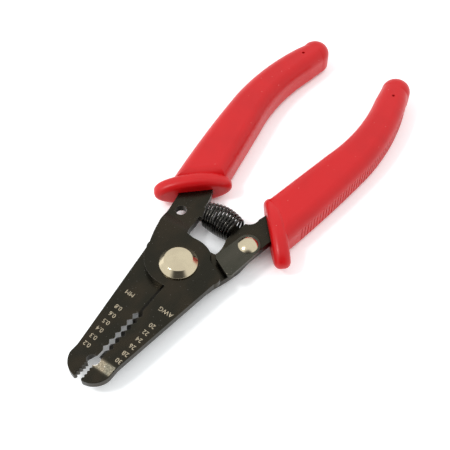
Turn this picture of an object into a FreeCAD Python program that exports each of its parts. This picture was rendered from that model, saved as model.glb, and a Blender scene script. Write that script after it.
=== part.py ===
import FreeCAD, Part
import math
import os

# Hand wire stripper for thin wires: two joggled steel plates crossing in a lap joint on a riveted
# pivot pin, a coil spring that pushes them apart, a lock lever and two moulded grips.
#
# Everything is drawn in millimetres in the pivot frame: origin on the pivot axis in the plane
# where the plates slide on each other, +Y towards the grips, +Z towards the marked side.
# One half is drawn in the closed position. The other half is drawn the same way, with a few edges
# of its own, and turned over about the Y axis. At the end the tool is moved so that it stands on
# Z = 0 with its footprint centred on the origin.

V = FreeCAD.Vector
Z_AXIS = V(0, 0, 1)
Y_AXIS = V(0, 1, 0)
PIVOT = V(0, 0, 0)

# Plates
PLATE_T = 2.8                  # plate thickness
MATE_GAP = 0.03                # each plate clears the sliding plane by this much
REST_HALF_OPENING = 1.3        # each half is turned this far from closed in the stored pose, degrees
EDGE_ROUND = 0.25              # broken edge around the outside of a plate; blades and window stay keen
ROUNDED_RIGHT = (4.0, 10.0)    # rounded where X is over the first and Y under the second: jaw and shoulder
ROUNDED_LEFT = (-10.0, 29.0)   # rounded where X is under the first and Y under the second: hub and tang
ROUNDED_NOSE_Y = -46.2         # rounded nearer the tip than this

# Blades
EDGE_PASS = 0.5                # each cutting edge passes the centre line by this when closed
BLADE_REAR_Y = -9.5            # cutting edge starts at the round shoulder
BEVEL_RUN = 2.1                # sideways run of the blade bevel over the plate thickness
WIRE_SIZES = (0.81, 0.64, 0.51, 0.40, 0.32, 0.25)   # bare wire diameters, largest nearest the pivot
NOTCH_FIRST_Y = -22.5
NOTCH_PITCH = 2.84
NOTCH_DEPTH = 0.75             # depth of a notch beyond the wire's radius
NOTCH_ASPECT = 1.2             # half width of a notch over its depth

# Nose
NOSE_R = 6.9
NOSE_CENTRE_Y = -43.0
JAW_TAPER = 9.5                # outer edge of a jaw leans this much from the centre line, degrees
NOSE_FACE_X = 0.03
NOSE_CORNER = 0.7              # rounding where the gripping face meets the tip
RELIEF_R = 1.8
RELIEF_CENTRE = V(-0.2, -42.3, 0)
TOOTH_COUNT = 4
TOOTH_PITCH = 1.25
TOOTH_DEPTH = 0.5
TOOTH_FIRST_Y = -44.7
TOOTH_SHARE = 0.42             # half width of a tooth gap over the pitch

# Joggles: both plates step to one common mid plane at the nose and at the tangs
NOSE_STEP_Y = (-44.6, -40.8)
TANG_STEP_Y = (11.7, 15.7)
BEND_R = 4.0                   # radius of the sheet at every bend
SHEET_REACH = 40.0             # the bent sheet is drawn this far past the plate on all sides

# Round part of a plate about the pivot
HUB_R = 11.3
HUB_START_X = 6.8
HUB_END_X = -2.0

# What differs between the two stampings: points of the closed outline, and the tang hole, which
# is a lanyard loop on the upper plate and holds the lock rivet on the lower one
UPPER_EDGES = {
    "window": V(-4.9, 11.6, 0), "window_side": V(-5.8, 14.2, 0),
    "seat_side": V(-8.1, 29.8, 0), "neck": V(-9.2, 32.4, 0),
    "tang_hole": V(-13.1, 19.0, 0),
}
LOWER_EDGES = {
    "window": V(-6.3, 11.6, 0), "window_side": V(-6.9, 14.2, 0),
    "seat_side": V(-9.3, 28.5, 0), "neck": V(-10.0, 31.5, 0),
    "tang_hole": V(-13.9, 19.7, 0),
}

# Pivot pin and its rear collar
PIN_R = 3.5
PIN_FIT = 0.04                 # radial running clearance
HEAD_R = 6.5
HEAD_FACE_R = 4.67
HEAD_H = 2.5
HEAD_RIM_H = 0.5
HEAD_ROUND = 0.35
COLLAR_R = 5.8
COLLAR_T = 1.6
COLLAR_CHAMFER = 0.6
COLLAR_FIT = 0.01              # the pin is riveted tight into the collar
PEEN_H = 0.4
STACK_GAP = 0.05               # axial clearance under a head, a collar or the lock lever

TANG_HOLE_R = 2.0

# Spring seats and spring
SEAT_FRONT = V(-6.0, 17.8, 0)
SEAT_BACK = V(-7.4, 27.2, 0)
PEG_LENGTH = 3.6
PEG_WIDTH = 4.2
WIRE_R = 0.5
COIL_R = 4.1
COIL_TURNS = 10
COIL_LENGTH = 11.4
COIL_CENTRE_Y = 23.2

# Lock lever and rivet
LEVER_T = 1.5
LEVER_END_R = 4.4
LEVER_ROUND = 0.3
RIVET_R = 1.92
RIVET_FIT = 0.06
RIVET_HEAD_R = 3.4
RIVET_HEAD_H = 1.3
RIVET_TAIL_R = 3.0
RIVET_TAIL_H = 0.8

# Grips
GRIP_T = 11.4
GRIP_ROUND_MARKED = 4.2        # a grip is rounded more on its marked side than on its back
GRIP_ROUND_BACK = 2.4
GRIP_INNER_FRONT = V(-8.0, 39.0, 0)
GRIP_OUTER_FRONT = V(-22.85, 25.15, 0)
TANG_END_Y = 97.0
SOCKET_FIT = 0.05
LEFT_FLANGE = {"centre": V(-16.2, 30.2, 0), "tilt": 43.0, "half_length": 14.0}
RIGHT_FLANGE = {"centre": V(-17.6, 31.4, 0), "tilt": 46.0, "half_length": 14.3}
FLANGE_HALF_HEIGHT = 6.0
FLANGE_T = 5.6
FLANGE_ROUND = 2.2
MOUTH_OUTER = 5.6              # the mouth of the socket reaches this far past the flange centre...
MOUTH_INNER = 1.0              # ...and starts here, measured along the flange
MOUTH_HALF_HEIGHT = 1.6
MOUTH_DEPTH = 4.0
RIB_SPAN_Y = (36.0, 104.0)     # stretch of the outer flank that carries the gripping ribs
RIB_PITCH = 1.6
GROOVE_WIDTH = 0.65            # groove between two ribs
GROOVE_DEPTH = 0.16
GROOVE_LIMIT_X = -19.0         # grooves stay outside this
VENT_HOLE = V(-17.9, 107.4, 0)
VENT_R = 0.55
VENT_DEPTH = 2.5

HALF_T = PLATE_T / 2


def line(start, end):
    return Part.LineSegment(start, end).toShape()


def arc(start, through, end):
    return Part.Arc(start, through, end).toShape()


def face_from(edges):
    return Part.Face(Part.Wire(Part.__sortEdges__(edges)))


def polygon_face(points):
    return Part.Face(Part.makePolygon(points + points[:1]))


def slab(face, z_low, z_high):
    """Extrude a face that lies in the Z = 0 plane between two heights."""
    lifted = face.copy()
    lifted.translate(V(0, 0, z_low))
    return lifted.extrude(V(0, 0, z_high - z_low))


def disc(centre, radius, z_low, z_high):
    return Part.makeCylinder(radius, z_high - z_low, V(centre.x, centre.y, z_low))


def turned(shape, degrees, axis=Z_AXIS, centre=PIVOT):
    copy = shape.copy()
    copy.rotate(centre, axis, degrees)
    return copy


def on_circle(centre, radius, degrees):
    angle = math.radians(degrees)
    return centre + V(radius * math.cos(angle), radius * math.sin(angle), 0)


def circle_y(centre, radius, x, side):
    """Y of a circle at a given x, on its upper (+1) or lower (-1) side."""
    return centre.y + side * math.sqrt(radius ** 2 - (x - centre.x) ** 2)


def peg_corners():
    """Corners of the flat spring peg, square to the seat it stands on."""
    along = (SEAT_BACK - SEAT_FRONT).normalize()
    out = V(along.y, -along.x, 0)
    middle = (SEAT_FRONT + SEAT_BACK) * 0.5
    front = middle - along * (PEG_WIDTH / 2)
    back = middle + along * (PEG_WIDTH / 2)
    return front, front + out * PEG_LENGTH, back + out * PEG_LENGTH, back


def plate_outline(edges):
    """Plan of a plate when the tool is closed, from the cutting edge round to the hub."""
    nose = V(0, NOSE_CENTRE_Y, 0)
    edge_rear = V(-EDGE_PASS, BLADE_REAR_Y, 0)
    relief_rear = V(-EDGE_PASS, circle_y(RELIEF_CENTRE, RELIEF_R, -EDGE_PASS, 1), 0)
    relief_deep = RELIEF_CENTRE + V(RELIEF_R, 0, 0)
    relief_front = V(NOSE_FACE_X, circle_y(RELIEF_CENTRE, RELIEF_R, NOSE_FACE_X, -1), 0)
    face_front = V(NOSE_FACE_X, NOSE_CENTRE_Y - NOSE_R + NOSE_CORNER, 0)
    tip_x = NOSE_FACE_X + NOSE_CORNER
    tip = V(tip_x, circle_y(nose, NOSE_R, tip_x, -1), 0)
    tip_mid = on_circle(V(tip_x, face_front.y, 0), NOSE_CORNER, -135)
    nose_mid = on_circle(nose, NOSE_R, -45)
    jaw_front = on_circle(nose, NOSE_R, -JAW_TAPER)
    jaw_slope = math.tan(math.radians(JAW_TAPER))
    jaw_rear = V(jaw_front.x - jaw_front.y * jaw_slope, 0, 0)
    shoulder_side = V(14.9, 2.2, 0)
    shoulder_top = V(13.7, 4.1, 0)
    flank_rear = V(9.2, 6.2, 0)
    flank_corner = V(7.5, 7.4, 0)
    hub_start = V(HUB_START_X, circle_y(PIVOT, HUB_R, HUB_START_X, 1), 0)
    hub_end = V(HUB_END_X, circle_y(PIVOT, HUB_R, HUB_END_X, 1), 0)
    tang_inner = V(-16.9, 70, 0)
    end_inner = V(-17.0, TANG_END_Y, 0)
    end_round = V(-20, TANG_END_Y + 3, 0)
    end_outer = V(-23.0, TANG_END_Y, 0)
    tang_outer = V(-24.4, 72, 0)
    tang_rear = V(-18.3, 25.0, 0)
    tang_front = V(-17.0, 17.2, 0)
    hub_rear = V(-15.4, 8.0, 0)
    hub_side = V(-13.1, 1.0, 0)
    hub_front = V(-10.6, -5.0, 0)
    hub_bottom = V(-1.45, BLADE_REAR_Y, 0)
    peg = peg_corners()
    return [
        line(edge_rear, relief_rear),
        arc(relief_rear, relief_deep, relief_front),
        line(relief_front, face_front),
        arc(face_front, tip_mid, tip),
        arc(tip, nose_mid, jaw_front),
        line(jaw_front, jaw_rear),
        arc(jaw_rear, shoulder_side, shoulder_top),
        line(shoulder_top, flank_rear),
        arc(flank_rear, flank_corner, hub_start),
        arc(hub_start, V(0, HUB_R, 0), hub_end),
        line(hub_end, edges["window"]),
        arc(edges["window"], edges["window_side"], SEAT_FRONT),
        line(SEAT_FRONT, peg[0]),
        line(peg[0], peg[1]),
        line(peg[1], peg[2]),
        line(peg[2], peg[3]),
        line(peg[3], SEAT_BACK),
        arc(SEAT_BACK, edges["seat_side"], edges["neck"]),
        arc(edges["neck"], tang_inner, end_inner),
        arc(end_inner, end_round, end_outer),
        arc(end_outer, tang_outer, tang_rear),
        line(tang_rear, tang_front),
        arc(tang_front, hub_rear, hub_side),
        arc(hub_side, hub_front, hub_bottom),
        line(hub_bottom, edge_rear),
    ]


def joggle_slab():
    """The bent sheet a plate is cut from: its side view, drawn across the whole width."""
    low = MATE_GAP
    back = TANG_END_Y + SHEET_REACH
    front = NOSE_CENTRE_Y - SHEET_REACH
    bottom = [
        (front, -HALF_T), (NOSE_STEP_Y[0], -HALF_T), (NOSE_STEP_Y[1], low),
        (TANG_STEP_Y[0], low), (TANG_STEP_Y[1], -HALF_T), (back, -HALF_T),
    ]
    top = [(y, z + PLATE_T) for y, z in reversed(bottom)]
    side = polygon_face([V(-SHEET_REACH * 2, y, z) for y, z in bottom + top])
    sheet = side.extrude(V(SHEET_REACH * 4, 0, 0))
    bends = []
    for edge in sheet.Edges:
        middle = edge_middle(edge)
        if abs(middle.x) < SHEET_REACH and front < middle.y < back:
            bends.append(edge)
    return sheet.makeFillet(BEND_R, bends)


def bevel_cutter():
    """Takes the blade down to a cutting edge at the sliding plane."""
    beyond = 3.0
    into_hub = 0.02
    slope = BEVEL_RUN / PLATE_T
    edge = V(-EDGE_PASS, BLADE_REAR_Y - into_hub, MATE_GAP)
    profile = [
        edge,
        edge + V(slope * (PLATE_T + beyond), 0, PLATE_T + beyond),
        edge + V(-beyond, 0, PLATE_T + beyond),
        edge + V(-beyond, 0, 0),
    ]
    return polygon_face(profile).extrude(V(0, RELIEF_CENTRE.y - BLADE_REAR_Y, 0))


def notch_cutters():
    """V grooves that run up the bevel, one for each wire size."""
    margin = 1.0
    slope = BEVEL_RUN / PLATE_T
    mouth = 1.5
    cutters = []
    for index, wire in enumerate(WIRE_SIZES):
        depth = wire / 2 + NOTCH_DEPTH
        half = depth * NOTCH_ASPECT
        y = NOTCH_FIRST_Y - index * NOTCH_PITCH
        x = -EDGE_PASS - margin * slope
        z = MATE_GAP - margin
        spread = half * (depth + mouth) / depth
        triangle = polygon_face([V(x + depth, y, z), V(x - mouth, y + spread, z), V(x - mouth, y - spread, z)])
        rise = PLATE_T + 2 * margin
        cutters.append(triangle.extrude(V(rise * slope, 0, rise)))
    return cutters


def tooth_cutters():
    """V grooves across the gripping face of the nose."""
    cutters = []
    for index in range(TOOTH_COUNT):
        y = TOOTH_FIRST_Y - index * TOOTH_PITCH
        spread = 2 * TOOTH_SHARE * TOOTH_PITCH
        points = [V(TOOTH_DEPTH, y, 0), V(-TOOTH_DEPTH, y + spread, 0), V(-TOOTH_DEPTH, y - spread, 0)]
        cutters.append(slab(polygon_face(points), -PLATE_T, PLATE_T))
    return cutters


def edge_middle(edge):
    return edge.valueAt((edge.FirstParameter + edge.LastParameter) / 2)


def rim_edges(shape):
    """Edges where a flat or sloping face meets an upright wall."""
    upright = 0.05
    flat = 0.9
    rims = []
    for edge in shape.Edges:
        middle = edge_middle(edge)
        rises = []
        for face in shape.ancestorsOfType(edge, Part.Face):
            rises.append(abs(face.normalAt(*face.Surface.parameter(middle)).z))
        if len(rises) == 2 and min(rises) < upright and max(rises) > flat:
            rims.append(edge)
    return rims


def on_outside(point):
    """True for a point on the outer edge of a plate, away from blade, window and spring seat."""
    right = point.x > ROUNDED_RIGHT[0] and point.y < ROUNDED_RIGHT[1]
    left = point.x < ROUNDED_LEFT[0] and point.y < ROUNDED_LEFT[1]
    return right or left or point.y < ROUNDED_NOSE_Y


def half_plate(edges):
    """A plate in the closed position, as the upper one lies."""
    plan = slab(face_from(plate_outline(edges)), -PLATE_T, 2 * PLATE_T)
    plate = plan.common(joggle_slab())
    plate = plate.cut(disc(PIVOT, PIN_R + PIN_FIT, -PLATE_T, 2 * PLATE_T))
    for cutter in [bevel_cutter()] + notch_cutters() + tooth_cutters():
        plate = plate.cut(cutter)
    plate = plate.Solids[0]
    outer_rims = [edge for edge in rim_edges(plate) if on_outside(edge_middle(edge))]
    plate = plate.makeFillet(EDGE_ROUND, outer_rims)
    return plate.cut(disc(edges["tang_hole"], TANG_HOLE_R, -PLATE_T, 2 * PLATE_T)).Solids[0]


def grip_outline():
    """Plan of the left grip, from the flange round the closed end and back."""
    inner_mid = V(-13.0, 69.0, 0)
    inner_hollow = V(-14.75, 86.5, 0)
    inner_rear = V(-12.2, 104.3, 0)
    end_inner = V(-10.9, 111.5, 0)
    end_round = V(-15.5, 119.2, 0)
    end_outer = V(-21.4, 113.3, 0)
    outer_rear = V(-22.8, 110.0, 0)
    outer_bulge = V(-27.3, 92.0, 0)
    outer_mid = V(-28.3, 74.0, 0)
    outer_swell = V(-26.2, 49.6, 0)
    return [
        line(GRIP_INNER_FRONT, inner_mid),
        arc(inner_mid, inner_hollow, inner_rear),
        line(inner_rear, end_inner),
        arc(end_inner, end_round, end_outer),
        line(end_outer, outer_rear),
        arc(outer_rear, outer_bulge, outer_mid),
        arc(outer_mid, outer_swell, GRIP_OUTER_FRONT),
        line(GRIP_OUTER_FRONT, GRIP_INNER_FRONT),
    ]


def flange_axes(guard):
    """Unit vectors along a flange, towards the middle of the tool, and out of its front face."""
    tilt = math.radians(guard["tilt"])
    return V(math.cos(tilt), math.sin(tilt), 0), V(math.sin(tilt), -math.cos(tilt), 0)


def flange(guard):
    """Oval guard at the front of a grip."""
    ring = Part.Ellipse()
    ring.MajorRadius = guard["half_length"]
    ring.MinorRadius = FLANGE_HALF_HEIGHT
    oval = Part.Face(Part.Wire(ring.toShape())).extrude(V(0, 0, FLANGE_T))
    rims = [edge for edge in oval.Edges if edge.Length > 4 * FLANGE_HALF_HEIGHT]
    oval = oval.makeFillet(FLANGE_ROUND, rims)
    oval.translate(V(0, 0, -FLANGE_T / 2))
    oval.rotate(PIVOT, V(1, 0, 0), 90)
    oval.rotate(PIVOT, Z_AXIS, guard["tilt"])
    oval.translate(guard["centre"])
    return oval


def socket(edges, guard):
    """Room for the tang inside a grip, with a wider mouth on the outer side."""
    tang = face_from(plate_outline(edges)).makeOffset2D(SOCKET_FIT)
    height = HALF_T + SOCKET_FIT
    room = slab(tang, -height, height)
    along, forward = flange_axes(guard)
    front = guard["centre"] + forward * (FLANGE_T / 2 + 1)
    back = guard["centre"] + forward * (FLANGE_T / 2 - MOUTH_DEPTH)
    mouth = polygon_face([
        front - along * MOUTH_OUTER,
        back - along * MOUTH_OUTER,
        back + along * MOUTH_INNER,
        front + along * MOUTH_INNER,
    ])
    return room.fuse(slab(mouth, -MOUTH_HALF_HEIGHT, MOUTH_HALF_HEIGHT))


def rib_grooves(body):
    """Grooves between the gripping ribs, all of one depth along the outer flank of a grip."""
    start, end = RIB_SPAN_Y
    reach = 2 * GRIP_T
    inner = body.copy()
    inner.translate(V(GROOVE_DEPTH, 0, 0))
    slots = []
    for index in range(math.ceil((end - start) / RIB_PITCH)):
        corner = V(GROOVE_LIMIT_X - reach, start + index * RIB_PITCH, -GRIP_T / 2)
        slots.append(Part.makeBox(reach, GROOVE_WIDTH, GRIP_T, corner))
    return Part.makeCompound(slots).cut(inner)


def grip_rims(body, side):
    """Long rims of a grip above (+1) or below (-1) its middle, without those on its front."""
    front = (GRIP_INNER_FRONT - GRIP_OUTER_FRONT).normalize()
    rims = []
    for edge in rim_edges(body):
        middle = edge_middle(edge)
        from_front = (middle - GRIP_OUTER_FRONT).cross(front).Length
        if middle.z * side > 0 and from_front > GRIP_ROUND_MARKED:
            rims.append(edge)
    return rims


def half_grip(edges, guard, marked_side):
    """A grip in the closed position, as the left one lies, marked above (+1) or below (-1)."""
    body = slab(face_from(grip_outline()), -GRIP_T / 2, GRIP_T / 2)
    grooves = rib_grooves(body)
    body = body.makeFillet(GRIP_ROUND_MARKED, grip_rims(body, marked_side))
    body = body.makeFillet(GRIP_ROUND_BACK, grip_rims(body, -marked_side))
    return body.cut(grooves).fuse(flange(guard)).cut(socket(edges, guard))


def vented(grip, side):
    """Small moulding vent in the marked face, near the closed end of a grip."""
    centre = side(Part.Vertex(VENT_HOLE)).Point
    return grip.cut(disc(centre, VENT_R, GRIP_T / 2 - VENT_DEPTH, GRIP_T)).Solids[0]


def upper_side(shape):
    return turned(shape, REST_HALF_OPENING)


def lower_side(shape):
    return turned(turned(shape, 180, Y_AXIS), -REST_HALF_OPENING)


def pivot_pin():
    top = MATE_GAP + PLATE_T + STACK_GAP
    bottom = -(MATE_GAP + PLATE_T + STACK_GAP + COLLAR_T + PEEN_H)
    profile = [
        V(0, 0, bottom), V(PIN_R - PEEN_H, 0, bottom), V(PIN_R, 0, bottom + PEEN_H),
        V(PIN_R, 0, top), V(HEAD_R, 0, top), V(HEAD_R, 0, top + HEAD_RIM_H),
        V(HEAD_FACE_R, 0, top + HEAD_H), V(0, 0, top + HEAD_H),
    ]
    pin = polygon_face(profile).revolve(PIVOT, Z_AXIS, 360)
    crown = [edge for edge in pin.Edges if edge_middle(edge).z > top + HEAD_RIM_H / 2]
    return pin.makeFillet(HEAD_ROUND, [edge for edge in crown if edge.Curve.TypeId == "Part::GeomCircle"])


def pivot_collar():
    top = -(MATE_GAP + PLATE_T + STACK_GAP)
    bottom = top - COLLAR_T
    bore = PIN_R + COLLAR_FIT
    profile = [
        V(bore, 0, top), V(COLLAR_R, 0, top), V(COLLAR_R, 0, bottom + COLLAR_CHAMFER),
        V(COLLAR_R - COLLAR_CHAMFER, 0, bottom), V(bore, 0, bottom),
    ]
    return polygon_face(profile).revolve(PIVOT, Z_AXIS, 360)


def rivet_centre():
    """The lock rivet stands in the tang hole of the lower plate."""
    return lower_side(Part.Vertex(LOWER_EDGES["tang_hole"])).Point


def lock_lever():
    centre = rivet_centre()
    left = V(-LEVER_END_R, 0, 0)
    right = V(LEVER_END_R - 0.1, 0, 0)
    corner_left = (V(-6.3, -8.7, 0), V(-6.0, -10.2, 0), V(-4.9, -10.9, 0))
    corner_right = (V(0.3, -13.4, 0), V(1.9, -13.3, 0), V(2.6, -11.8, 0))
    outline = face_from([
        arc(right, V(0, LEVER_END_R, 0), left),
        line(left, corner_left[0]),
        arc(*corner_left),
        line(corner_left[2], corner_right[0]),
        arc(*corner_right),
        line(corner_right[2], right),
    ])
    low = HALF_T + STACK_GAP
    lever = slab(outline, low, low + LEVER_T)
    lever = lever.makeFillet(LEVER_ROUND, rim_edges(lever))
    lever = lever.cut(disc(PIVOT, RIVET_R + RIVET_FIT, low - 1, low + LEVER_T + 1))
    lever.translate(centre)
    return lever


def lock_rivet():
    """Low domed head over the lever, shank through lever and tang, flat tail below."""
    centre = rivet_centre()
    seat = HALF_T + 2 * STACK_GAP + LEVER_T
    tail = -HALF_T - STACK_GAP
    dome_r = (RIVET_HEAD_R ** 2 + RIVET_HEAD_H ** 2) / (2 * RIVET_HEAD_H)
    dome_z = seat + RIVET_HEAD_H - dome_r
    ball = Part.makeSphere(dome_r, V(0, 0, dome_z))
    head = ball.common(disc(PIVOT, RIVET_HEAD_R, seat, seat + 2 * RIVET_HEAD_H))
    shank = disc(PIVOT, RIVET_R, tail - RIVET_TAIL_H, seat + RIVET_HEAD_H / 2)
    foot = disc(PIVOT, RIVET_TAIL_R, tail - RIVET_TAIL_H, tail)
    rivet = head.fuse([shank, foot]).removeSplitter().Solids[0]
    rivet.translate(centre)
    return rivet


def return_spring():
    """Close-wound compression spring lying across the tool between the two seats."""
    pitch = COIL_LENGTH / COIL_TURNS
    helix = Part.makeHelix(pitch, COIL_LENGTH, COIL_R)
    circle = Part.Circle(V(COIL_R, 0, 0), Y_AXIS, WIRE_R)
    coil = Part.Wire(helix).makePipeShell([Part.Wire(circle.toShape())], True, True)
    coil.translate(V(0, 0, -COIL_LENGTH / 2))
    coil.rotate(PIVOT, Y_AXIS, 90)
    coil.translate(V(0, COIL_CENTRE_Y, 0))
    return coil


def build():
    left_grip = half_grip(UPPER_EDGES, LEFT_FLANGE, 1)
    right_grip = half_grip(LOWER_EDGES, RIGHT_FLANGE, -1)
    nodes = {
        "upper_jaw_plate": upper_side(half_plate(UPPER_EDGES)),
        "lower_jaw_plate": lower_side(half_plate(LOWER_EDGES)),
        "pivot_pin": pivot_pin(),
        "pivot_collar": pivot_collar(),
        "return_spring": return_spring(),
        "lock_lever": lock_lever(),
        "lock_rivet": lock_rivet(),
        "left_grip": vented(upper_side(left_grip), upper_side),
        "right_grip": vented(lower_side(right_grip), lower_side),
    }
    box = FreeCAD.BoundBox()
    for shape in nodes.values():
        box.add(shape.optimalBoundingBox(False))
    shift = V(-box.Center.x, -box.Center.y, -box.ZMin)
    os.makedirs("parts", exist_ok=True)
    for name, shape in nodes.items():
        shape.translate(shift)
        shape.exportStep(f"parts/{name}.step")
        print(f"{name}: volume {shape.Volume:.1f} mm3, valid {shape.isValid()}, solids {len(shape.Solids)}")
    print(f"size {box.XLength:.2f} x {box.YLength:.2f} x {box.ZLength:.2f} mm")
    print("pivot axis at", shift)
    print("lock rivet axis at", rivet_centre() + shift)
    print("loop hole axis at", upper_side(Part.Vertex(UPPER_EDGES["tang_hole"])).Point + shift)


build()
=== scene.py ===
# %% [markdown]
# # A small wire stripper, dressed for the bench
# The steel plates, pivot pin, lever, rivet and grips arrive as a packed, jointed frame. This
# lesson keeps that frame exactly as it is. It sets up a camera and a white table, writes a few
# surface effects once, mixes a finish for every piece from them, winds the return spring with
# Geometry Nodes and prints the two scales on the jaws.

# %% Load the frame
import math

import bpy
from mathutils import Matrix, Vector


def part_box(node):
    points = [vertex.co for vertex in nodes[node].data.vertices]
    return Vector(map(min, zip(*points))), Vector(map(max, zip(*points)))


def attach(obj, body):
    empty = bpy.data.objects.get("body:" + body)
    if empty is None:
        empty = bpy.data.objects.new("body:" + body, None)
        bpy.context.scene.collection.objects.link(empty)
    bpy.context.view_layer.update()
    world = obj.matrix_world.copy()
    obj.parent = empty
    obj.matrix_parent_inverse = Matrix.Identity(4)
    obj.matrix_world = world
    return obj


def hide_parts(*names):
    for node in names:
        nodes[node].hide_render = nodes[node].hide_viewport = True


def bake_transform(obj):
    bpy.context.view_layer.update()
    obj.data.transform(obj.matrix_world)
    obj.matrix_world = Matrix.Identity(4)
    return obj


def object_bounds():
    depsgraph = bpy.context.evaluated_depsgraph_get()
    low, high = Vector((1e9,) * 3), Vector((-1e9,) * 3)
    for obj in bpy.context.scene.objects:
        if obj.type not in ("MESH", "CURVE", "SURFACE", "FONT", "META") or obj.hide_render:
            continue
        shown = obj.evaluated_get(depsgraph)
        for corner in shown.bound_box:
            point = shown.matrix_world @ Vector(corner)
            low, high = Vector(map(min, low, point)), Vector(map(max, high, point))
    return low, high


MM = 0.001
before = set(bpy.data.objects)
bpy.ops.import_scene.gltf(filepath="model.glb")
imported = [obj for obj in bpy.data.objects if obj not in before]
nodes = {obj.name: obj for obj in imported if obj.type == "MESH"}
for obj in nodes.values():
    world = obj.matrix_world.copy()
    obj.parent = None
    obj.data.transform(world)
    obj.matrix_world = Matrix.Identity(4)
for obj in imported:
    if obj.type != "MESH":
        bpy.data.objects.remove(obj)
cad_low, cad_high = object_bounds()
pivot_low, pivot_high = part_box("pivot_pin")
pivot = (pivot_low + pivot_high) / 2
mid_plane = (cad_low.z + cad_high.z) / 2
print("frame size in mm:", [round(side / MM, 2) for side in cad_high - cad_low])

# %% [markdown]
# ## Aiming things
# The camera and the lamp both stand off in some direction and look back. A direction is easiest
# to think of as a compass bearing and a height above the horizon, so one helper turns those two
# angles into a vector and another stands a thing there.

# %% Helpers for aiming
scene = bpy.context.scene


def towards(azimuth_deg, elevation_deg):
    """Unit vector to a place round the table; azimuth 0 is along -Y, 90 along +X."""
    azimuth, elevation = math.radians(azimuth_deg), math.radians(elevation_deg)
    flat = math.cos(elevation)
    return Vector((math.sin(azimuth) * flat, -math.cos(azimuth) * flat, math.sin(elevation)))


def aim(thing, direction, distance):
    """Stand a camera or a lamp off in one direction, turned back towards the origin."""
    thing.location = direction * distance
    thing.rotation_euler = (-direction).to_track_quat("-Z", "Y").to_euler()
    scene.collection.objects.link(thing)


print("azimuth 0, elevation 0 is", [round(x, 2) for x in towards(0, 0)])

# %% [markdown]
# ## Camera
# A tool this size is best seen from just above its nose, with a medium-long lens, so that the
# handles do not swell. It is aimed at the origin first and then slid sideways, so that it looks
# at a point on the tool. The plain "Standard" view keeps white card white and reds clean.

# %% Place the camera
LOOK_AZIMUTH = 36.04
LOOK_ELEVATION = 53.77
LOOK_DISTANCE = 282.0 * MM
AIM_POINT = Vector((1.97, -11.2, 6.0)) * MM
SENSOR_WIDTH = 36.0
FOCAL_LENGTH = 65.42
NEAREST_SEEN = 0.01
FARTHEST_SEEN = 20.0
lens = bpy.data.cameras.new("bench_camera")
lens.sensor_width = SENSOR_WIDTH
lens.lens = FOCAL_LENGTH
lens.clip_start = NEAREST_SEEN
lens.clip_end = FARTHEST_SEEN
camera = bpy.data.objects.new("bench_camera", lens)
aim(camera, towards(LOOK_AZIMUTH, LOOK_ELEVATION), LOOK_DISTANCE)
camera.location += AIM_POINT
scene.camera = camera
scene.view_settings.view_transform = "Standard"
print("camera stands at", [round(x, 3) for x in camera.location])

# %% [markdown]
# ## Node helpers
# Every finish below is a small tree of nodes, and so is the room. A few helpers keep those trees
# readable: add a node and fill its inputs, do one sum, remap a value, mix two colours, and start
# a group with named sockets.

# %% Helpers for node trees


def add(tree, kind, inputs=None, **settings):
    """Add a node; an input is filled with a plain value or with another node's output."""
    node = tree.nodes.new(kind)
    for name, value in settings.items():
        setattr(node, name, value)
    for name, value in (inputs or {}).items():
        if isinstance(value, bpy.types.NodeSocket):
            tree.links.new(value, node.inputs[name])
        else:
            node.inputs[name].default_value = value
    return node


def calc(tree, operation, first, second=0.0):
    """One sum on two numbers or outputs."""
    return add(tree, "ShaderNodeMath", {0: first, 1: second}, operation=operation).outputs[0]


def fade(tree, value, start, end, low=0.0, high=1.0):
    """Remap a value softly from one span to another, held at both ends."""
    spans = {"Value": value, "From Min": start, "From Max": end, "To Min": low, "To Max": high}
    return add(tree, "ShaderNodeMapRange", spans, interpolation_type="SMOOTHSTEP").outputs["Result"]


def blend_colors(tree, amount, first, second):
    """Mix two colours, each a plain colour or an output."""
    node = add(tree, "ShaderNodeMix", data_type="RGBA")
    sockets = [socket for socket in node.inputs if socket.type == "RGBA"]
    for socket, color in zip(sockets, (first, second)):
        if isinstance(color, bpy.types.NodeSocket):
            tree.links.new(color, socket)
        else:
            socket.default_value = (*color, 1.0)
    tree.links.new(amount, node.inputs["Factor"])
    return [socket for socket in node.outputs if socket.type == "RGBA"][0]


def new_group(name, kind, inputs, outputs):
    """An empty group with named sockets; returns it with its inner start and end sockets."""
    group = bpy.data.node_groups.new(name, kind)
    for label, socket_type, default in inputs:
        socket = group.interface.new_socket(label, in_out="INPUT", socket_type=socket_type)
        if default is not None:
            socket.default_value = default
    for label, socket_type in outputs:
        group.interface.new_socket(label, in_out="OUTPUT", socket_type=socket_type)
    given = group.nodes.new("NodeGroupInput").outputs
    result = group.nodes.new("NodeGroupOutput").inputs
    return group, given, result


print("node helpers:", [helper.__name__ for helper in (add, calc, fade, blend_colors, new_group)])

# %% [markdown]
# ## Light
# Polished black steel shows the room more than it shows itself. A white room gives the soft
# grey sheen on the flats, and the side behind the camera stays dim, as a person standing there
# would make it, so that the plates turn dark towards the viewer.

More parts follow.
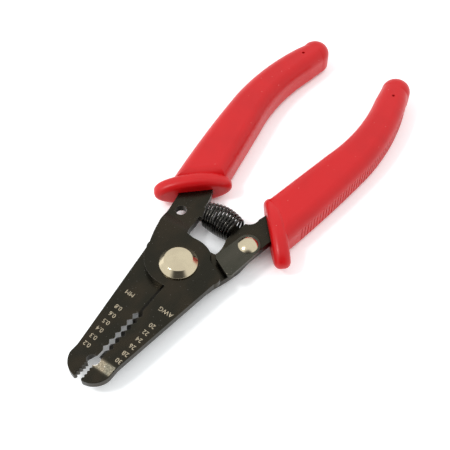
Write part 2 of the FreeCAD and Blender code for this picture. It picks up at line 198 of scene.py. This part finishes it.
# %% A white room, dim behind the camera
ROOM_TINT = (0.97, 0.99, 1.0)
ROOM_LEVEL = 1.0
DIM_LEVEL = 0.08
DIM_SIDE = towards(36, 31)
DIM_CORE = 0.95
DIM_RIM = 0.72
world = bpy.data.worlds.new("white_room")
scene.world = world
world.use_nodes = True
room = world.node_tree
view_direction = add(room, "ShaderNodeTexCoord").outputs["Generated"]
facing = add(room, "ShaderNodeVectorMath", {0: view_direction, 1: DIM_SIDE}, operation="DOT_PRODUCT")
dimming = fade(room, facing.outputs["Value"], DIM_RIM, DIM_CORE, ROOM_LEVEL, DIM_LEVEL)
room.links.new(dimming, room.nodes["Background"].inputs["Strength"])
room.nodes["Background"].inputs["Color"].default_value = (*ROOM_TINT, 1.0)
print("room made, dim towards", [round(x, 2) for x in DIM_SIDE])

# %% [markdown]
# One round soft box stands a metre off, in front and to the left of the camera. The sloping step
# of the right-hand jaw mirrors it, and that bright patch tells the eye that the nose is bent.

# %% A soft box in front
BOX_SIZE = 0.18
BOX_DISTANCE = 1.0
BOX_POWER = 3.0
BOX_SIDE = towards(-39, 55)
lamp = bpy.data.lights.new("soft_box", "AREA")
lamp.shape = "DISK"
lamp.size = BOX_SIZE
lamp.energy = BOX_POWER
aim(bpy.data.objects.new("soft_box", lamp), BOX_SIDE, BOX_DISTANCE)
print("soft box of", BOX_POWER, "W at", [round(x, 2) for x in BOX_SIDE])

# %% [markdown]
# ## Surface effects, written once
# The same few things happen to many surfaces: corners change colour, colour drifts in soft
# patches, a fine grain breaks up the shine, and specks of dust settle. On the steel the bright
# corners are partly wear and partly a painted highlight along the rims. Each effect is a group
# that hands out one mask or height, so that every finish can use it at its own scale. All of
# them read Object coordinates, which on these pieces are real metres.
#
# The edge mask comes first. Comparing the true normal with one that is rounded over a small
# radius finds the corners without any extra geometry, and noise keeps the mask from being even.
# The steel uses it for corners painted bright, partly as wear and partly as a painted highlight.

# %% Group: edge mask
TEXTURE_DETAIL = 3.0
BEVEL_SAMPLES = 6
BREAKUP_SPAN = (0.35, 0.62)
FAINTEST_BREAKUP = 0.25


def noise_on(tree, scale, stretch=(1.0, 1.0, 1.0)):
    """Soft noise fixed to the piece; scale is in patches per metre."""
    place = add(tree, "ShaderNodeTexCoord").outputs["Object"]
    spot = add(tree, "ShaderNodeMapping", {"Vector": place, "Scale": stretch}).outputs["Vector"]
    sockets = {"Vector": spot, "Scale": scale, "Detail": TEXTURE_DETAIL}
    return add(tree, "ShaderNodeTexNoise", sockets).outputs["Fac"]


edge_mask, given, result = new_group(
    "edge_mask", "ShaderNodeTree",
    [("Radius", "NodeSocketFloat", 0.0003), ("Gain", "NodeSocketFloat", 6.0),
     ("Breakup", "NodeSocketFloat", 600.0)],
    [("Mask", "NodeSocketFloat")],
)
rounding = add(edge_mask, "ShaderNodeBevel", {"Radius": given["Radius"]}, samples=BEVEL_SAMPLES)
straight = add(edge_mask, "ShaderNodeNewGeometry").outputs["Normal"]
both = {0: rounding.outputs["Normal"], 1: straight}
match = add(edge_mask, "ShaderNodeVectorMath", both, operation="DOT_PRODUCT").outputs["Value"]
corner = calc(edge_mask, "MULTIPLY", calc(edge_mask, "SUBTRACT", 1.0, match), given["Gain"])
broken_up = fade(edge_mask, noise_on(edge_mask, given["Breakup"]), *BREAKUP_SPAN, FAINTEST_BREAKUP)
edge_amount = add(edge_mask, "ShaderNodeMath", {0: corner, 1: broken_up}, operation="MULTIPLY", use_clamp=True)
edge_mask.links.new(edge_amount.outputs[0], result["Mask"])
print("group", edge_mask.name, "with", len(edge_mask.nodes), "nodes")

# %% [markdown]
# Patches and grain are the same noise at different sizes. Patches get more contrast, because
# they act as a mask; grain stays a plain height.

# %% Group: soft patches
PATCH_SPAN = (0.36, 0.66)
soft_patches, given, result = new_group(
    "soft_patches", "ShaderNodeTree",
    [("Scale", "NodeSocketFloat", 100.0), ("Stretch", "NodeSocketVector", (1.0, 1.0, 1.0))],
    [("Mask", "NodeSocketFloat")],
)
patch = fade(soft_patches, noise_on(soft_patches, given["Scale"], given["Stretch"]), *PATCH_SPAN)
soft_patches.links.new(patch, result["Mask"])
print("group", soft_patches.name, "with", len(soft_patches.nodes), "nodes")

# %% Group: fine grain
fine_grain, given, result = new_group(
    "fine_grain", "ShaderNodeTree",
    [("Scale", "NodeSocketFloat", 3000.0), ("Stretch", "NodeSocketVector", (1.0, 1.0, 1.0))],
    [("Height", "NodeSocketFloat")],
)
fine_grain.links.new(noise_on(fine_grain, given["Scale"], given["Stretch"]), result["Height"])
print("group", fine_grain.name, "with", len(fine_grain.nodes), "nodes")

# %% [markdown]
# Dust is scattered, so it comes from cells: each cell has one round speck in its middle, and a
# draw by the cell's own colour decides whether it is kept.

# %% Group: specks of dust
specks, given, result = new_group(
    "specks", "ShaderNodeTree",
    [("Scale", "NodeSocketFloat", 900.0), ("Size", "NodeSocketFloat", 0.16),
     ("Share", "NodeSocketFloat", 0.3)],
    [("Mask", "NodeSocketFloat")],
)
place = add(specks, "ShaderNodeTexCoord").outputs["Object"]
cells = add(specks, "ShaderNodeTexVoronoi", {"Vector": place, "Scale": given["Scale"]})
near = calc(specks, "LESS_THAN", cells.outputs["Distance"], given["Size"])
lot = add(specks, "ShaderNodeSeparateColor", {"Color": cells.outputs["Color"]}).outputs[0]
kept = calc(specks, "LESS_THAN", lot, given["Share"])
specks.links.new(calc(specks, "MULTIPLY", near, kept), result["Mask"])
print("groups:", [group.name for group in bpy.data.node_groups])

# %% [markdown]
# ## Finishes
# Each finish is one Principled shader. The groups only decide where its colour and roughness
# change. Small helpers start a material, place a group, and join a colour, a roughness or a
# height to the shader.

# %% Helpers for finishes
GRAIN_SPAN = (0.3, 0.7)


def new_finish(name, roughness=0.5, metallic=0.0, **even):
    """A material whose even, unchanging numbers sit on the shader itself."""
    material = bpy.data.materials.new(name)
    material.use_nodes = True
    tree = material.node_tree
    shader = tree.nodes["Principled BSDF"]
    shader.inputs["Roughness"].default_value = roughness
    shader.inputs["Metallic"].default_value = metallic
    for label, value in even.items():
        shader.inputs[label.replace("_", " ")].default_value = value
    return material, tree, shader


def use(tree, group, **values):
    """Place a shared effect with its own numbers and return its one output."""
    node = add(tree, "ShaderNodeGroup", node_tree=group)
    for label, value in values.items():
        node.inputs[label].default_value = value
    return node.outputs[0]


def paint(tree, shader, color):
    """Give the shader its finished colour."""
    tree.links.new(color, shader.inputs["Base Color"])


def vary_gloss(tree, shader, grain, dullness):
    """Let the grain move the roughness between two values."""
    tree.links.new(fade(tree, grain, *GRAIN_SPAN, *dullness), shader.inputs["Roughness"])


def bump(tree, shader, height, strength, distance):
    """Let a height shape the shading."""
    sockets = {"Height": height, "Strength": strength, "Distance": distance}
    relief = add(tree, "ShaderNodeBump", sockets).outputs["Normal"]
    tree.links.new(relief, shader.inputs["Normal"])


print("finish helpers:", [helper.__name__ for helper in (new_finish, use, paint, vary_gloss, bump)])

# %% [markdown]
# ### Blackened steel
# The plates and the lever are stamped, hot-blackened and oiled. The black is a thin skin: it
# goes slightly brown in patches, and at the corners it is painted as bright bare steel, partly
# wear and partly a painted highlight along the rims. Metallic stays at one with a very dark
# colour, because that is how an oxide skin over steel reflects the room. Plates and lever share
# one function, since they differ only in how much they have been rubbed and how strong the
# painted edge highlight is.

# %% Blackened steel
SKIN_BLACK = (0.030, 0.028, 0.021)
SKIN_BROWN = (0.041, 0.034, 0.024)
# Bare steel colour for the corners, which also serves as a painted highlight along the rims.
BARE_STEEL_AND_HIGHLIGHT = (0.36, 0.33, 0.30)
DUST_GREY = (0.16, 0.15, 0.14)
STEEL_DULLNESS = (0.24, 0.33)
STEEL_DUST = 0.55
PLATE_WEAR_AND_HIGHLIGHT = 2.2


def black_steel(name, black, brown, wear_and_highlight_gain):
    """Hot-blackened steel: patchy skin, worn corners with a painted highlight, a few specks of dust."""
    material, tree, shader = new_finish(name, metallic=1.0)
    mottle = use(tree, soft_patches, Scale=140.0, Stretch=(1.0, 0.6, 1.0))
    skin = blend_colors(tree, mottle, black, brown)
    dust = calc(tree, "MULTIPLY", use(tree, specks, Scale=1500.0, Size=0.20, Share=0.10), STEEL_DUST)
    dusted = blend_colors(tree, dust, skin, DUST_GREY)
    # The corners are painted bare steel: partly wear, partly a painted highlight along the rims.
    wear_and_highlight = use(tree, edge_mask, Radius=0.16 * MM, Gain=wear_and_highlight_gain, Breakup=900.0)
    paint(tree, shader, blend_colors(tree, wear_and_highlight, dusted, BARE_STEEL_AND_HIGHLIGHT))
    grain = use(tree, fine_grain, Scale=2600.0)
    vary_gloss(tree, shader, grain, STEEL_DULLNESS)
    bump(tree, shader, grain, strength=0.08, distance=0.01 * MM)
    return material


steel = black_steel("blackened_steel", SKIN_BLACK, SKIN_BROWN, PLATE_WEAR_AND_HIGHLIGHT)
print(steel.name, "has", len(steel.node_tree.nodes), "nodes")

# %% [markdown]
# The blades are ground after blackening. Their flanks are the only sloping faces close to the
# centre line, so a mask of slope and place finds them, and stretched noise draws the lines.

# %% Grinding lines on the blade flanks
GROUND_STEEL = (0.085, 0.078, 0.066)
BLADE_HALF_WIDTH = 3.4 * MM
BLADE_LENGTH = 40.0 * MM
UPRIGHT_SPAN = (0.2, 0.45)
LEVEL_SPAN = (0.97, 0.85)
LINE_SPAN = (0.35, 0.65)
tree = steel.node_tree
shader = tree.nodes["Principled BSDF"]
texture_place = add(tree, "ShaderNodeTexCoord").outputs
slope = add(tree, "ShaderNodeSeparateXYZ", {0: texture_place["Normal"]}).outputs
spot = add(tree, "ShaderNodeSeparateXYZ", {0: texture_place["Object"]}).outputs
levelness = calc(tree, "ABSOLUTE", slope["Z"])
not_upright = fade(tree, levelness, *UPRIGHT_SPAN)
sloping = calc(tree, "MULTIPLY", not_upright, fade(tree, levelness, *LEVEL_SPAN))
near_edge = calc(tree, "LESS_THAN", calc(tree, "ABSOLUTE", spot["X"]), BLADE_HALF_WIDTH)
in_front = calc(tree, "LESS_THAN", spot["Y"], pivot.y)
behind_nose = calc(tree, "GREATER_THAN", spot["Y"], pivot.y - BLADE_LENGTH)
on_blade = calc(tree, "MULTIPLY", near_edge, calc(tree, "MULTIPLY", in_front, behind_nose))
lines = use(tree, fine_grain, Scale=700.0, Stretch=(0.25, 5.0, 0.25))
flanks = calc(tree, "MULTIPLY", sloping, on_blade)
strength = calc(tree, "MULTIPLY", fade(tree, lines, *LINE_SPAN), flanks)
black_color = shader.inputs["Base Color"].links[0].from_socket
paint(tree, shader, blend_colors(tree, strength, black_color, GROUND_STEEL))
print(steel.name, "now has", len(tree.nodes), "nodes")

# %% [markdown]
# The lever is pushed by a thumb many times a day, so its black is thinner, and its corners are
# painted brighter than those of the plates, partly as wear and partly as a painted highlight.

# %% Rubbed steel with a painted edge highlight, for the lever
LEVER_BLACK = (0.062, 0.060, 0.046)
LEVER_BROWN = (0.080, 0.074, 0.058)
# Stronger corners on the lever: wear and a painted highlight.
LEVER_WEAR_AND_HIGHLIGHT = 4.0
lever_steel = black_steel("rubbed_highlit_steel", LEVER_BLACK, LEVER_BROWN, LEVER_WEAR_AND_HIGHLIGHT)
print(lever_steel.name, "has", len(lever_steel.node_tree.nodes), "nodes")

# %% [markdown]
# ### Nickel plate
# The pin and the rivet are bright nickel over steel, slightly yellow. Turned faces carry very
# fine marks, handling leaves faint dull patches, and a trace of dirt stays along the corners.

# %% Nickel plate
NICKEL_BRIGHT = (0.67, 0.575, 0.40)
NICKEL_DULL = (0.62, 0.53, 0.37)
NICKEL_GRIME = (0.20, 0.16, 0.11)
NICKEL_DULLNESS = (0.12, 0.20)
GRIME_STRENGTH = 0.6
nickel, tree, shader = new_finish("nickel_plate", metallic=1.0)
handled = use(tree, soft_patches, Scale=260.0)
corners = use(tree, edge_mask, Radius=0.25 * MM, Gain=3.0, Breakup=1200.0)
plate = blend_colors(tree, handled, NICKEL_BRIGHT, NICKEL_DULL)
grimy = calc(tree, "MULTIPLY", corners, GRIME_STRENGTH)
paint(tree, shader, blend_colors(tree, grimy, plate, NICKEL_GRIME))
grain = use(tree, fine_grain, Scale=4200.0)
vary_gloss(tree, shader, grain, NICKEL_DULLNESS)
bump(tree, shader, grain, strength=0.12, distance=0.01 * MM)
print(nickel.name, "has", len(tree.nodes), "nodes")

# %% [markdown]
# ### Red vinyl
# The grips are dip-moulded in glossy red vinyl. Up close the gloss is broken by a fine orange
# peel, colour drifts a little with thickness, corners polish lighter in use, and a few pale
# specks of dust sit on the skin.

# %% Red vinyl
VINYL_RED = (0.65, 0.003, 0.005)
VINYL_DEEP = (0.60, 0.002, 0.004)
VINYL_RUBBED = (0.70, 0.03, 0.03)
VINYL_DUST = (0.70, 0.22, 0.20)
VINYL_DULLNESS = (0.30, 0.42)
VINYL_SPECULAR = 0.42
VINYL_WEAR = 0.55
VINYL_DUST_STRENGTH = 0.5
vinyl, tree, shader = new_finish("red_vinyl", Specular_IOR_Level=VINYL_SPECULAR)
drift = use(tree, soft_patches, Scale=70.0)
body = blend_colors(tree, drift, VINYL_RED, VINYL_DEEP)
corners = use(tree, edge_mask, Radius=0.3 * MM, Gain=3.0, Breakup=500.0)
rubbed_body = blend_colors(tree, calc(tree, "MULTIPLY", corners, VINYL_WEAR), body, VINYL_RUBBED)
dots = use(tree, specks, Scale=700.0, Size=0.13, Share=0.06)
dust = calc(tree, "MULTIPLY", dots, VINYL_DUST_STRENGTH)
paint(tree, shader, blend_colors(tree, dust, rubbed_body, VINYL_DUST))
peel = use(tree, fine_grain, Scale=1500.0)
vary_gloss(tree, shader, peel, VINYL_DULLNESS)
bump(tree, shader, peel, strength=0.18, distance=0.03 * MM)
print(vinyl.name, "has", len(tree.nodes), "nodes")

# %% [markdown]
# ### Black spring wire and scale print
# The spring is drawn wire with a thin glossy black coat, rubbed where the turns lie close. The
# scales are pad-printed in a pale gold ink that is thin in places, so the black shows through.

# %% Spring wire
WIRE_BLACK = (0.030, 0.028, 0.026)
WIRE_RUBBED = (0.085, 0.080, 0.070)
WIRE_DULLNESS = (0.14, 0.24)
wire_coat, tree, shader = new_finish("black_wire", metallic=1.0)
rub = use(tree, soft_patches, Scale=900.0)
paint(tree, shader, blend_colors(tree, rub, WIRE_BLACK, WIRE_RUBBED))
vary_gloss(tree, shader, use(tree, fine_grain, Scale=6000.0), WIRE_DULLNESS)
print(wire_coat.name, "has", len(tree.nodes), "nodes")

# %% Scale ink
INK_GOLD = (0.62, 0.52, 0.36)
INK_THIN = (0.34, 0.28, 0.20)
INK_ROUGHNESS = 0.55
ink, tree, shader = new_finish("scale_ink", INK_ROUGHNESS)
thin = use(tree, soft_patches, Scale=2400.0)
paint(tree, shader, blend_colors(tree, thin, INK_GOLD, INK_THIN))
print("finishes:", [material.name for material in bpy.data.materials])

# %% [markdown]
# ## Dress the frame
# The shapes that the frame brings are right, so those pieces keep their meshes and only get
# their finish.

# %% Give each piece its finish
FINISHES = {
    "upper_jaw_plate": steel, "lower_jaw_plate": steel, "lock_lever": lever_steel,
    "pivot_pin": nickel, "pivot_collar": nickel, "lock_rivet": nickel,
    "left_grip": vinyl, "right_grip": vinyl, "return_spring": wire_coat,
}
for name, material in FINISHES.items():
    mesh = nodes[name].data
    mesh.materials.clear()
    mesh.materials.append(material)
    print(name, "->", material.name)

# %% [markdown]
# ## The return spring
# The real spring is barrel shaped: its middle turns are wider than its ends, and it bows
# towards the handles because its two seats are tilted. A screw modifier can only wind a
# straight coil, so a Geometry Nodes tree places every point of the wire by rule. The rule walks
# along an arc, swings round it, and swells in the middle. A round profile then follows it.

# %% Spring sizes
SPRING_TURNS = 11.0
SPRING_POINTS_PER_TURN = 40
SPRING_PROFILE_POINTS = 14
WIRE_RADIUS = 0.46 * MM
END_RADIUS = 3.95 * MM
MIDDLE_RADIUS = 4.95 * MM
SEAT_TILT = math.radians(11.5)
HALF_SPAN = 6.45 * MM
SPRING_SHIFT = Vector((0.45, 23.3)) * MM
print("spring of", SPRING_TURNS, "turns,", round(2 * HALF_SPAN / MM, 1), "mm between its seats")

# %% [markdown]
# In the tree, "along" runs from nought to one down the wire. It gives the angle of the turn, the
# swelling of the barrel and the lean along the bow, and those three give each point its place.

# %% Tree: a bowed barrel coil
barrel_coil, given, result = new_group(
    "barrel_coil", "GeometryNodeTree",
    [("Turns", "NodeSocketFloat", 10.0), ("Points", "NodeSocketInt", 400),
     ("End Radius", "NodeSocketFloat", 0.004), ("Middle Radius", "NodeSocketFloat", 0.005),
     ("Half Span", "NodeSocketFloat", 0.006), ("Seat Tilt", "NodeSocketFloat", 0.2),
     ("Wire Radius", "NodeSocketFloat", 0.0005), ("Profile Points", "NodeSocketInt", 12),
     ("Centre", "NodeSocketVector", (0.0, 0.0, 0.0)), ("Material", "NodeSocketMaterial", None)],
    [("Geometry", "NodeSocketGeometry")],
)
path = add(barrel_coil, "GeometryNodeCurvePrimitiveLine").outputs["Curve"]
dense = add(barrel_coil, "GeometryNodeResampleCurve", {"Curve": path, "Count": given["Points"]})
along = add(barrel_coil, "GeometryNodeSplineParameter").outputs["Factor"]
turns_so_far = calc(barrel_coil, "MULTIPLY", along, given["Turns"])
turn = calc(barrel_coil, "MULTIPLY", turns_so_far, 2 * math.pi)
swell = calc(barrel_coil, "SINE", calc(barrel_coil, "MULTIPLY", along, math.pi))
extra = calc(barrel_coil, "SUBTRACT", given["Middle Radius"], given["End Radius"])
radius = calc(barrel_coil, "ADD", given["End Radius"], calc(barrel_coil, "MULTIPLY", extra, swell))
tilt_sine = calc(barrel_coil, "SINE", given["Seat Tilt"])
bow_radius = calc(barrel_coil, "DIVIDE", given["Half Span"], tilt_sine)
either_side = calc(barrel_coil, "SUBTRACT", calc(barrel_coil, "MULTIPLY", along, 2.0), 1.0)
lean = calc(barrel_coil, "MULTIPLY", either_side, given["Seat Tilt"])
outward = calc(barrel_coil, "MULTIPLY", radius, calc(barrel_coil, "COSINE", turn))
reach = calc(barrel_coil, "ADD", bow_radius, outward)
chord = calc(barrel_coil, "MULTIPLY", bow_radius, calc(barrel_coil, "COSINE", given["Seat Tilt"]))
forward = calc(barrel_coil, "MULTIPLY", reach, calc(barrel_coil, "COSINE", lean))
point = add(barrel_coil, "ShaderNodeCombineXYZ", {
    "X": calc(barrel_coil, "MULTIPLY", reach, calc(barrel_coil, "SINE", lean)),
    "Y": calc(barrel_coil, "SUBTRACT", forward, chord),
    "Z": calc(barrel_coil, "MULTIPLY", radius, calc(barrel_coil, "SINE", turn)),
}).outputs[0]
placed = add(barrel_coil, "ShaderNodeVectorMath", {0: point, 1: given["Centre"]}, operation="ADD")
wound = add(barrel_coil, "GeometryNodeSetPosition", {
    "Geometry": dense.outputs["Curve"], "Position": placed.outputs["Vector"],
})
section = add(barrel_coil, "GeometryNodeCurvePrimitiveCircle", {
    "Radius": given["Wire Radius"], "Resolution": given["Profile Points"],
})
skinned = add(barrel_coil, "GeometryNodeCurveToMesh", {
    "Curve": wound.outputs["Geometry"], "Profile Curve": section.outputs["Curve"], "Fill Caps": True,
})
real = add(barrel_coil, "GeometryNodeRealizeInstances", {"Geometry": skinned.outputs["Mesh"]})
coated = add(barrel_coil, "GeometryNodeSetMaterial", {
    "Geometry": real.outputs["Geometry"], "Material": given["Material"],
})
barrel_coil.links.new(coated.outputs["Geometry"], result["Geometry"])
print("tree", barrel_coil.name, "with", len(barrel_coil.nodes), "nodes")

# %% [markdown]
# A modifier's inputs have names for people and identifiers for the file. The values go in by
# identifier, then the evaluated result is copied into a plain mesh and the modifier is dropped.

# %% Wind the spring


def grow(name, tree, values):
    """Run a Geometry Nodes tree once and keep its result as a plain mesh object."""
    seed = bpy.data.objects.new(name + "_seed", bpy.data.meshes.new(name + "_seed"))
    scene.collection.objects.link(seed)
    modifier = seed.modifiers.new(name, "NODES")
    modifier.node_group = tree
    identifiers = {
        item.name: item.identifier for item in tree.interface.items_tree
        if item.item_type == "SOCKET" and item.in_out == "INPUT"
    }
    for label, value in values.items():
        modifier[identifiers[label]] = value
    evaluated = seed.evaluated_get(bpy.context.evaluated_depsgraph_get())
    mesh = bpy.data.meshes.new_from_object(evaluated)
    bpy.data.objects.remove(seed)
    mesh.name = name
    piece = bpy.data.objects.new(name, mesh)
    scene.collection.objects.link(piece)
    return piece


spring_centre = Vector((pivot.x + SPRING_SHIFT.x, pivot.y + SPRING_SHIFT.y, mid_plane))
spring = grow("barrel_spring", barrel_coil, {
    "Turns": SPRING_TURNS, "Points": int(SPRING_TURNS * SPRING_POINTS_PER_TURN),
    "End Radius": END_RADIUS, "Middle Radius": MIDDLE_RADIUS, "Half Span": HALF_SPAN,
    "Seat Tilt": SEAT_TILT, "Wire Radius": WIRE_RADIUS, "Profile Points": SPRING_PROFILE_POINTS,
    "Centre": spring_centre, "Material": wire_coat,
})
spring.data.polygons.foreach_set("use_smooth", [True] * len(spring.data.polygons))
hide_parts("return_spring")
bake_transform(spring)
print("spring:", len(spring.data.polygons), "faces")

# %% [markdown]
# ## The two scales
# Each jaw carries a printed column of wire sizes: millimetres on one, gauge numbers on the
# other. Blender's own font is turned to a mesh first and then moved to its place, so that the
# print sits in the right spot inside its mesh. The ink is a thin film that starts just inside
# the steel, so no gap shows under it.

# %% Helpers for printing a column
TEXT_SIZE = 2.2 * MM
CURVE_STEPS = 3
INK_THICKNESS = 0.02 * MM
INK_SUNK = 0.012 * MM
PLATE_THICKNESS = 2.8 * MM
HALF_GAP = 0.03 * MM
PLATE_TOP = {
    "lower_half": mid_plane - HALF_GAP,
    "upper_half": mid_plane + HALF_GAP + PLATE_THICKNESS,
}


def word_mesh(word):
    """One word as flat, slightly thick letters, centred on the origin."""
    curve = bpy.data.curves.new("word", "FONT")
    curve.body = word
    curve.size = TEXT_SIZE
    curve.extrude = INK_THICKNESS / 2
    curve.align_x = "CENTER"
    curve.align_y = "CENTER"
    curve.resolution_u = CURVE_STEPS
    letters = bpy.data.objects.new("word", curve)
    scene.collection.objects.link(letters)
    evaluated = letters.evaluated_get(bpy.context.evaluated_depsgraph_get())
    mesh = bpy.data.meshes.new_from_object(evaluated)
    bpy.data.objects.remove(letters)
    return mesh


def print_scale(name, body, words, heading, first, step):
    """Join a heading and a column of numbers into one printed piece on one jaw."""
    corners, faces = [], []
    places = [heading] + [first + step * index for index in range(len(words) - 1)]
    height = PLATE_TOP[body] - INK_SUNK + INK_THICKNESS / 2
    upside_down = Matrix.Rotation(math.pi, 4, "Z")
    for word, place in zip(words, places):
        letters = word_mesh(word)
        spot = Vector((pivot.x + place.x, pivot.y + place.y, height))
        letters.transform(Matrix.Translation(spot) @ upside_down)
        start = len(corners)
        corners += [vertex.co.copy() for vertex in letters.vertices]
        faces += [[start + index for index in face.vertices] for face in letters.polygons]
    mesh = bpy.data.meshes.new(name)
    mesh.from_pydata(corners, [], faces)
    mesh.materials.append(ink)
    piece = bpy.data.objects.new(name, mesh)
    scene.collection.objects.link(piece)
    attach(piece, body)
    print(name, "on", body, "with", len(faces), "faces")


print("print stands", round((INK_THICKNESS - INK_SUNK) / MM, 3), "mm proud of the steel")

# %% [markdown]
# The letters stand upright for someone who holds the handles and looks along the tool. Each
# column leans a little, because the jaws do.

# %% Print both scales
print_scale(
    "millimetre_scale", "lower_half", ("MM", "0.8", "0.6", "0.5", "0.4", "0.3", "0.2"),
    Vector((-6.8, -17.1)) * MM, Vector((-6.4, -23.3)) * MM, Vector((0.12, -3.16)) * MM,
)
print_scale(
    "gauge_scale", "upper_half", ("AWG", "20", "22", "24", "26", "28", "30"),
    Vector((8.1, -16.9)) * MM, Vector((7.8, -23.3)) * MM, Vector((-0.12, -3.08)) * MM,
)

# %% [markdown]
# ## The table
# A sheet of white card. It glows a little, which stands for the light that a real white sweep
# passes through, and keeps the shadows pale. Where the tool covers the card closely, as under
# the blades, an occlusion mask takes the glow away.

# %% Lay the table
TABLE_REACH = 4.0
CARD_WHITE = (0.90, 0.90, 0.90)
CARD_SHADE = (0.88, 0.885, 0.89)
CARD_ROUGHNESS = 0.6
CARD_GLOW = 0.38
COVER_REACH = 12.0 * MM
COVER_SPAN = (0.15, 0.45)
COVER_SAMPLES = 8
card, tree, shader = new_finish("white_card", CARD_ROUGHNESS)
shader.inputs["Emission Color"].default_value = (*ROOM_TINT, 1.0)
cover = add(tree, "ShaderNodeAmbientOcclusion", {"Distance": COVER_REACH}, samples=COVER_SAMPLES)
glow = fade(tree, cover.outputs["AO"], *COVER_SPAN, 0.0, CARD_GLOW)
tree.links.new(glow, shader.inputs["Emission Strength"])
paint(tree, shader, blend_colors(tree, use(tree, soft_patches, Scale=30.0), CARD_WHITE, CARD_SHADE))
table_mesh = bpy.data.meshes.new("table_top")
rim = [(x * TABLE_REACH, y * TABLE_REACH, 0.0) for x, y in ((-1, -1), (1, -1), (1, 1), (-1, 1))]
table_mesh.from_pydata(rim, [], [(0, 1, 2, 3)])
table_mesh.materials.append(card)
table_top = bpy.data.objects.new("table_top", table_mesh)
scene.collection.objects.link(table_top)
print("table laid,", 2 * TABLE_REACH, "m wide")

# %% [markdown]
# ## Finish
# The last cell brings the view layer up to date.

# %% Finish
bpy.context.view_layer.update()
